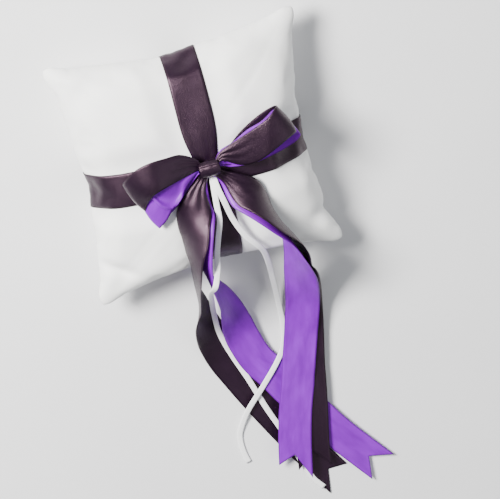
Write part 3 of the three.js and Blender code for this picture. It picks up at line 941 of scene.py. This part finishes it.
def streamer(name, stations, notch, skew, body, finish_name):
    """A ribbon end: gathered at the knot, rolled over the cushion's edge, flat on the table."""
    size = sizes()
    route = Route(stations)

    def place(along):
        centre, tangent, (turn,) = route.at(along)
        level = UP.cross(tangent).normalized()
        across = Matrix.Rotation(math.radians(turn), 3, tangent) @ level
        return centre, across, tangent.cross(across)

    def width_at(along):
        return mix(GATHERED_WIDTH, size.ribbon, smoothstep(along, 3 * MM, 32 * MM))

    def shape(along, side):
        near = 1 - smoothstep(along, 4 * MM, 40 * MM)
        pleats = KNOT_PLEAT * near * math.cos(2.7 * math.pi * side)
        camber = mix(CAMBER_NEAR, CAMBER_FAR, smoothstep(along, 40 * MM, 150 * MM))
        camber *= (1 - side * side) * smoothstep(along, 6 * MM, 26 * MM)
        wave = STREAMER_WAVE * math.sin(along / (15 * MM) + 1.3 * side)
        wave *= smoothstep(along, 60 * MM, 120 * MM)
        creases = sum(
            height * hump(along + lean * side, at * route.length, width) * (1 + way * side) / 2
            for height, lean, at, width, way in STREAMER_CREASES)
        return pleats + camber + wave + creases

    piece = laid_ribbon(
        name + "_ribbon", route.length, place, finish(finish_name),
        STREAMER_STEPS, STREAMER_ACROSS, width_at, shape, notch, skew)
    for vertex in piece.data.vertices:
        vertex.co.z = max(vertex.co.z, LOWEST)
    add_solidify(piece, size.ribbon_thickness)
    declare(piece, body, finish_name, name)


class PILLOW_OT_streamers(bpy.types.Operator):
    """Lay the four swallowtail streamers"""

    bl_idname = "pillow.streamers"
    bl_label = "Streamers"

    def execute(self, context):
        for name, facts in STREAMERS.items():
            streamer(
                name, facts["stations"], facts["notch"], facts["skew"], facts["body"],
                facts["finish"])
        return {"FINISHED"}


# ---------------------------------------------------------------- bow loops

# Each loop ribbon by its two edges, in millimetres: the edge away from the streamers, then
# the edge towards them. It leaves the knot over the top, folds at its end and comes back below.
LOOPS = {
    "loop_left_plum": [
        ((-1, 7, 66.6), (-1, 1, 66)), ((-4, 12, 67.4), (-4.4, 2.5, 66.4)),
        ((-14, 19, 71), (-14, 1.5, 69)), ((-25, 20.7, 74.6), (-24, 0.4, 73)),
        ((-36, 21, 76.8), (-33.5, -1, 76)), ((-46, 18, 75), (-39.5, -4, 74.6)),
        ((-53.6, 12, 71), (-43.6, -9.5, 70.8)), ((-57, 6.6, 66), (-46, -16, 66)),
        ((-54.5, 7.5, 61.4), (-43.5, -15.5, 61)), ((-42, 12, 58.6), (-33, -11, 58.6)),
        ((-28, 12, 58.6), (-24, -9, 58.6)), ((-14, 9.5, 60.4), (-13, -4.5, 60.4)),
        ((-4.6, 6, 63), (-4.6, -1, 62.8)), ((-1, 4, 63.6), (-1, 0, 63.4)),
    ],
    "loop_left_violet": [
        ((-1, 6, 65.6), (-1, 1, 65.2)), ((-4.4, 9, 66), (-4.4, 1, 65)),
        ((-14, 14, 69), (-11.5, -4, 65.6)), ((-24, 15, 71.6), (-17.5, -11, 65.6)),
        ((-35, 12, 73.6), (-22, -15.5, 65.6)), ((-42, 5, 72.2), (-27, -19.5, 66)),
        ((-46, -2, 69), (-33, -26.5, 66)), ((-48.4, -9, 65.8), (-38.6, -32, 62.6)),
        ((-46, -8.6, 62), (-36.6, -31, 59.8)), ((-38, -4, 60), (-30, -26, 58.8)),
        ((-26, 1, 60), (-21.4, -20, 58.8)), ((-14, 3.5, 61.6), (-13, -11, 60)),
        ((-4.8, 4.4, 64.4), (-4.8, -1.4, 63.4)), ((-1, 3.6, 64.6), (-1, 0.4, 64.4)),
    ],
    "loop_right_plum": [
        ((9.5, 7, 66.6), (9.5, 2, 66)), ((14.6, 12.5, 67), (14.2, 5, 66)),
        ((27, 18.5, 70), (25.7, -1.3, 66)), ((39, 24.5, 74), (36.5, -0.6, 70.6)),
        ((49.5, 30, 76.4), (47.6, 5, 75.4)), ((57, 35, 74.4), (59, 10.4, 75.4)),
        ((59, 35, 69.4), (68, 13, 70)), ((56, 33, 63.6), (66.5, 11, 63)),
        ((46, 28, 59.6), (55, 4, 59.8)), ((32, 20, 58.6), (38, -2.5, 58.8)),
        ((21, 12, 60.4), (21.5, -1.5, 60.2)), ((14.6, 7, 63), (14.6, 1, 62.8)),
        ((9.5, 5, 63.6), (9.5, 1.5, 63.4)),
    ],
    "loop_right_violet": [
        ((9.5, 6.5, 65.6), (9.5, 2, 65.2)), ((14.4, 12.8, 65.8), (14.2, 4.5, 65)),
        ((24, 17.0, 68), (24.5, 0, 64.6)), ((35, 24.0, 71.2), (35.5, 2, 67)),
        ((46, 28.6, 74), (46, 6, 70)), ((54.6, 33.4, 72.8), (57.4, 10, 70.4)),
        ((57, 32, 69), (69.8, 10.4, 67.6)), ((55, 30, 65), (70.4, 7, 65.2)),
        ((47, 24, 61.8), (65, 3, 63)), ((36, 18, 60.6), (52, -1.6, 61.4)),
        ((26, 12.6, 61), (36, -4.6, 60.4)), ((18, 8, 62.2), (20, -2.6, 61.2)),
        ((14.4, 6, 64), (14.4, 0.6, 63.6)), ((9.5, 4.6, 64.6), (9.5, 1.6, 64.4)),
    ],
}


LOOP_STEPS, LOOP_ACROSS = 150, 16
LOOP_STEP = 0.03
LOOP_PLEAT = 0.5 * MM
LOOP_CREST = 1.1 * MM
LOOP_RIPPLE = 0.3 * MM
# a sharp fold over the left lining's upper face, on a curve that turns at its tip
FOLD_TIP = (-27 * MM, -17.5 * MM)
FOLD_CURVE = 80
FOLD_RISE, FOLD_WIDTH = 2.3 * MM, 1.3 * MM
HOLLOW_DEPTH = 1.3 * MM  # beside the fold, away from the streamers


def fold_lining(mesh):
    """Raises the fold, with a hollow beside it."""
    tip_x, tip_y = FOLD_TIP
    for vertex in mesh.vertices:
        off = vertex.co.y - (tip_y + FOLD_CURVE * (vertex.co.x - tip_x) ** 2)
        upper = smoothstep(vertex.co.z, 63 * MM, 65 * MM)
        clear_of_knot = smoothstep(-vertex.co.x, 15 * MM, 20 * MM)
        hollow = HOLLOW_DEPTH * smoothstep(off, 0, 5 * MM) * (1 - smoothstep(off, 7 * MM, 14 * MM))
        vertex.co.z += upper * clear_of_knot * (FOLD_RISE * hump(off, 0, FOLD_WIDTH) - hollow)


def bow_loop(name, edges):
    """One ribbon of a loop, stretched between its two edges."""
    away, near = ([Vector(edge) * MM for edge in side] for side in zip(*edges))
    if name.startswith("loop_right"):
        away, near = near, away
    last = len(edges) - 1
    middles = [(a + b) / 2 for a, b in zip(away, near)]
    length = walk(middles)[-1]

    def place(along):
        mark = last * along / length
        low, high = catmull(away, mark), catmull(near, mark)
        across = high - low
        face = heading(middles, mark, LOOP_STEP).cross(across).normalized()
        return (low + high) / 2, across, face

    def shape(along, side):
        ends = min(along, length - along)
        gathered = 1 - smoothstep(ends, 3 * MM, 36 * MM)
        pleats = LOOP_PLEAT * gathered * math.cos(3.1 * math.pi * side + 0.4)
        crest = LOOP_CREST * (1 - side * side) * smoothstep(ends, 6 * MM, 26 * MM)
        ripple = LOOP_RIPPLE * math.sin(ends / (7 * MM) + 2.4 * side)
        return pleats + crest + ripple * smoothstep(ends, 14 * MM, 30 * MM)

    finish_name = name.rsplit("_", 1)[1] + "_satin"
    # place() gives the whole way across, so the width is one
    piece = laid_ribbon(
        name + "_ribbon", length, place, finish(finish_name), LOOP_STEPS, LOOP_ACROSS,
        lambda along: 1.0, shape)
    if name == "loop_left_violet":
        fold_lining(piece.data)
    add_solidify(piece, sizes().ribbon_thickness)
    declare(piece, "pillow", finish_name, name)


class PILLOW_OT_loops(bpy.types.Operator):
    """Form the bow's two lined loops"""

    bl_idname = "pillow.loops"
    bl_label = "Bow loops"

    def execute(self, context):
        for name, edges in LOOPS.items():
            bow_loop(name, edges)
        return {"FINISHED"}


# ---------------------------------------------------------------- the knot


KNOT_STEPS, KNOT_ACROSS = 96, 18
KNOT_TURNS = 1.06  # the wrap's end laps its start
KNOT_START = 4.4  # radians round from the side away from the streamers
KNOT_FOLD = 0.1 * MM
KNOT_RIDGE, RIDGE_AT, RIDGE_WIDTH = 0.5 * MM, 0.75, 0.02
KNOT_INSET = 0.7 * MM
KNOT_LAP = 0.45 * MM
KNOT_EDGE, KNOT_BULGE = 0.84, 0.14  # shares of its height at its edges, and more at its middle
KNOT_BREADTH, KNOT_SWAY = 0.92, 0.06  # shares of its width, and how that changes round it


class PILLOW_OT_knot(bpy.types.Operator):
    """Wrap the knot at the middle of the bow"""

    bl_idname = "pillow.knot"
    bl_label = "Knot"

    def execute(self, context):
        size = sizes()
        bm = ribbon_grid(KNOT_STEPS, KNOT_ACROSS)
        flat = {}
        for vertex in bm.verts:
            side = 2 * vertex.co.y
            wound = vertex.co.x + 0.5
            turn = 2 * math.pi * wound * KNOT_TURNS + KNOT_START
            folds = KNOT_FOLD * math.cos(2.6 * math.pi * side + 0.5)
            folds += KNOT_RIDGE * hump(math.cos(turn - RIDGE_AT), 1.0, RIDGE_WIDTH)
            pull = KNOT_EDGE + KNOT_BULGE * (1 - side * side)
            spare = folds + KNOT_LAP * wound
            vertex.co = KNOT_CENTRE + Vector((
                side * KNOT_HALF.x * (KNOT_BREADTH + KNOT_SWAY * math.sin(turn)),
                math.cos(turn) * ((KNOT_HALF.y - KNOT_INSET) * pull + spare),
                math.sin(turn) * ((KNOT_HALF.z - KNOT_INSET) * pull + spare),
            ))
            flat[vertex] = (side * size.ribbon / 2, turn * KNOT_HALF.y)
        write_flat(bm, flat)
        wrap = new_piece("knot_wrap", bm, finish("plum_satin"))
        add_solidify(wrap, size.ribbon_thickness)
        declare(wrap, "pillow", "plum_satin", "bow_knot_wrap")
        refinish("bow_knot_core", "violet_satin")
        return {"FINISHED"}


# ---------------------------------------------------------------- ring ties

# Each station is x, y and z in millimetres.
TIES = {
    "ring_tie_left": {
        "stations": [
            (5, -6.5, 59.7), (4.4, -15, 61), (3.6, -26, 62.4), (3, -38, 63), (-1, -52, 62),
            (-4, -62, 62.5), (-6.4, -71, 67), (-11.5, -81, 74), (-14.5, -90, 61),
            (-13.8, -102, 45), (-12.4, -120, 23), (-11, -139, 9), (-8.5, -152, 5),
            (-4, -167, 2.4), (3, -187, 2.2), (11, -213, 2.2), (20, -238, 2.2), (27.5, -263, 2.2),
            (33.3, -278.4, 2.2), (39.6, -287.4, 2.2),
        ],
        "body": "left_streamers",
    },
    "ring_tie_right": {
        "stations": [
            (6, -6.5, 60.9), (6.8, -14, 63.4), (9.4, -26, 63.2), (12.7, -40.7, 60),
            (18.8, -56.1, 56.5), (25.4, -66, 53), (30, -74.5, 47), (33, -89, 34), (35, -105, 20),
            (36.6, -130.3, 7), (36.5, -151.8, 3.5), (33.2, -167.1, 3.6), (25.9, -178.3, 5),
            (10.8, -195.1, 5), (-1, -207.5, 4.4), (-7.4, -217.1, 2.5), (-12.7, -228.6, 1),
            (-13.1, -240.9, 1), (-10.9, -251.7, 1),
        ],
        "body": "right_streamers",
    },
}
TIE_THICKNESS = 0.5 * MM
TIE_CAMBER = 0.1 * MM
TIE_STEPS, TIE_ACROSS = 220, 6


def ring_tie(name, stations, body):
    """A narrow flat ribbon laid level across its route."""
    size = sizes()
    route = Route(stations)

    def place(along):
        centre, tangent, _ = route.at(along)
        across = UP.cross(tangent).normalized()
        return centre, across, tangent.cross(across)

    piece = laid_ribbon(
        name + "_ribbon", route.length, place, finish("white_tie"), TIE_STEPS, TIE_ACROSS,
        lambda along: size.tie, lambda along, side: TIE_CAMBER * (1 - side * side))
    add_solidify(piece, TIE_THICKNESS)
    declare(piece, body, "white_tie", name)
    path = [route.at(route.length * k / TIE_STEPS)[0] for k in range(TIE_STEPS + 1)]


class PILLOW_OT_ring_ties(bpy.types.Operator):
    """Lay the narrow white ties for the rings"""

    bl_idname = "pillow.ring_ties"
    bl_label = "Ring ties"

    def execute(self, context):
        for name, facts in TIES.items():
            ring_tie(name, facts["stations"], facts["body"])
        refinish("ring_tie_middle", "white_tie")
        return {"FINISHED"}


# ---------------------------------------------------------------- stitching


STITCH_STEPS = 18
STITCH_FROM_Y = -40 * MM  # inside the cushion, from where its edge is found
STITCH_RISE = 0.8 * MM
STITCH_THICKNESS = 0.45 * MM
STITCH_INTO_NEXT = 0.2 * MM
STITCH_STANDOFF = 0.1 * MM


class PILLOW_OT_stitching(bpy.types.Operator):
    """Finish the seam thread and the hand-closed opening"""

    bl_idname = "pillow.stitching"
    bl_label = "Stitching"

    def execute(self, context):
        refinish("seam_thread", "sewing_thread")
        # slanted hand stitches over the closed opening, on the cushion's own edge
        low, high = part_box("closing_stitches")
        seam = sizes().seam_height
        points = []
        for k in range(STITCH_STEPS + 1):
            x = mix(low[0], high[0], k / STITCH_STEPS)
            start = Vector((x, STITCH_FROM_Y, seam))
            hit, _, _, _ = Cushion.surface.ray_cast(start, Vector((0, -1, 0)))
            y = hit.y if hit is not None else low[1]
            rise = STITCH_RISE if k % 2 else -STITCH_RISE
            points.append(Vector((x, y - STITCH_STANDOFF, seam + rise)))
        bm = bmesh.new()
        for a, b in zip(points, points[1:]):
            way = b - a
            turn = way.to_track_quat("X", "Z").to_matrix().to_4x4()
            scale = Matrix.Diagonal(
                (way.length + STITCH_INTO_NEXT, STITCH_THICKNESS, STITCH_THICKNESS, 1))
            place = Matrix.Translation((a + b) / 2)
            bmesh.ops.create_cube(bm, size=1, matrix=place @ turn @ scale)
        stitches = new_piece("hand_stitches", bm, finish("sewing_thread"))
        declare(stitches, "pillow", "sewing_thread", "closing_stitches")
        return {"FINISHED"}


# ---------------------------------------------------------------- stage, lights and camera


FLOOR_HALF = 3.0
FLOOR_DROP = 0.2 * MM  # keeps the floor clear of the back
FLOOR_DARK, FLOOR_LIGHT = (0.80, 0.80, 0.81), (0.83, 0.83, 0.835)
# name, place, what it points at, size in metres, watts and colour
LIGHTS = (
    ("key", (-0.75, 0.65, 1.0), (0, 0, 0.03), 0.42, 72, (1, 0.99, 0.97)),
    ("fill", (0.9, -0.6, 1.1), (0, -0.1, 0), 1.0, 5, (0.95, 0.97, 1)),
)
STUDIO_COLOUR, STUDIO_STRENGTH = (0.92, 0.95, 1, 1), 0.32
CAMERA_PLACE = (-0.1868, 0.6923, 2.0115)
CAMERA_RIGHT = (0.9601, -0.2111, 0.1835)
CAMERA_FORWARD = (0.0981, -0.3605, -0.9277)
CAMERA_LENS, CAMERA_SENSOR, CAMERA_REACH = 216, 36, 20


def soft_light(name, place, aim, size_across, power, colour):
    light = bpy.data.lights.new(name, "AREA")
    light.shape = "SQUARE"
    light.size = size_across
    light.energy = power
    light.color = colour
    lamp = bpy.data.objects.new(name, light)
    bpy.context.scene.collection.objects.link(lamp)
    lamp.location = place
    lamp.rotation_euler = (Vector(aim) - Vector(place)).to_track_quat("-Z", "Y").to_euler()


def floor_material():
    n = Nodes("pale_floor")
    place = n.add("ShaderNodeTexCoord").outputs["Object"]
    n.feed(n.tones(n.noise(place, (8, 8, 8), 4), FLOOR_DARK, FLOOR_LIGHT), "Base Color")
    n.set(Roughness=0.8)
    return n.material


def aimed_camera():
    """A long lens, looking down on the pillow."""
    camera = bpy.data.cameras.new("camera")
    camera.lens = CAMERA_LENS
    camera.sensor_width = CAMERA_SENSOR
    camera.clip_end = CAMERA_REACH
    eye = bpy.data.objects.new("camera", camera)
    right = Vector(CAMERA_RIGHT).normalized()
    forward = Vector(CAMERA_FORWARD).normalized()
    above = right.cross(forward).normalized()
    turn = Matrix((right, above, -forward)).transposed().to_4x4()
    eye.matrix_world = Matrix.Translation(CAMERA_PLACE) @ turn
    return eye


class PILLOW_OT_stage(bpy.types.Operator):
    """Set out the floor, the lights and the camera"""

    bl_idname = "pillow.stage"
    bl_label = "Stage"

    def execute(self, context):
        bm = bmesh.new()
        bmesh.ops.create_grid(bm, x_segments=1, y_segments=1, size=FLOOR_HALF)
        bmesh.ops.translate(bm, verts=bm.verts, vec=(0, 0, -FLOOR_DROP))
        new_piece("floor", bm, floor_material())
        for light in LIGHTS:
            soft_light(*light)
        world = bpy.data.worlds.new("studio")
        world.use_nodes = True
        background = world.node_tree.nodes["Background"]
        background.inputs["Color"].default_value = STUDIO_COLOUR
        background.inputs["Strength"].default_value = STUDIO_STRENGTH
        context.scene.world = world
        eye = aimed_camera()
        context.scene.collection.objects.link(eye)
        context.scene.camera = eye
        return {"FINISHED"}


# ---------------------------------------------------------------- panel and registration


class PILLOW_PT_panel(bpy.types.Panel):
    """Lists the pillow's sizes, colours and pieces"""

    bl_label = "Ring Bearer Pillow"
    bl_idname = "PILLOW_PT_panel"
    bl_space_type = "VIEW_3D"
    bl_region_type = "UI"
    bl_category = "Ring Pillow"

    def draw(self, context):
        layout = self.layout
        for group in (context.scene.pillow_sizes, context.scene.pillow_colours):
            box = layout.box()
            for key in group.bl_rna.properties.keys():
                if key not in ("rna_type", "name"):
                    box.prop(group, key)
        for operator in OPERATORS:
            layout.operator(operator.bl_idname)


OPERATORS = (
    PILLOW_OT_stage,
    PILLOW_OT_cushion,
    PILLOW_OT_stitching,
    PILLOW_OT_bands,
    PILLOW_OT_loops,
    PILLOW_OT_knot,
    PILLOW_OT_streamers,
    PILLOW_OT_ring_ties,
)
CLASSES = (PillowSizes, PillowColours, *OPERATORS, PILLOW_PT_panel)


def register():
    for cls in CLASSES:
        bpy.utils.register_class(cls)
    bpy.types.Scene.pillow_sizes = PointerProperty(type=PillowSizes)
    bpy.types.Scene.pillow_colours = PointerProperty(type=PillowColours)


def unregister():
    del bpy.types.Scene.pillow_colours
    del bpy.types.Scene.pillow_sizes
    for cls in reversed(CLASSES):
        bpy.utils.unregister_class(cls)


def main():
    register()
    for operator in OPERATORS:
        group, action = operator.bl_idname.split(".")
        getattr(getattr(bpy.ops, group), action)()


if __name__ == "__main__":
    main()
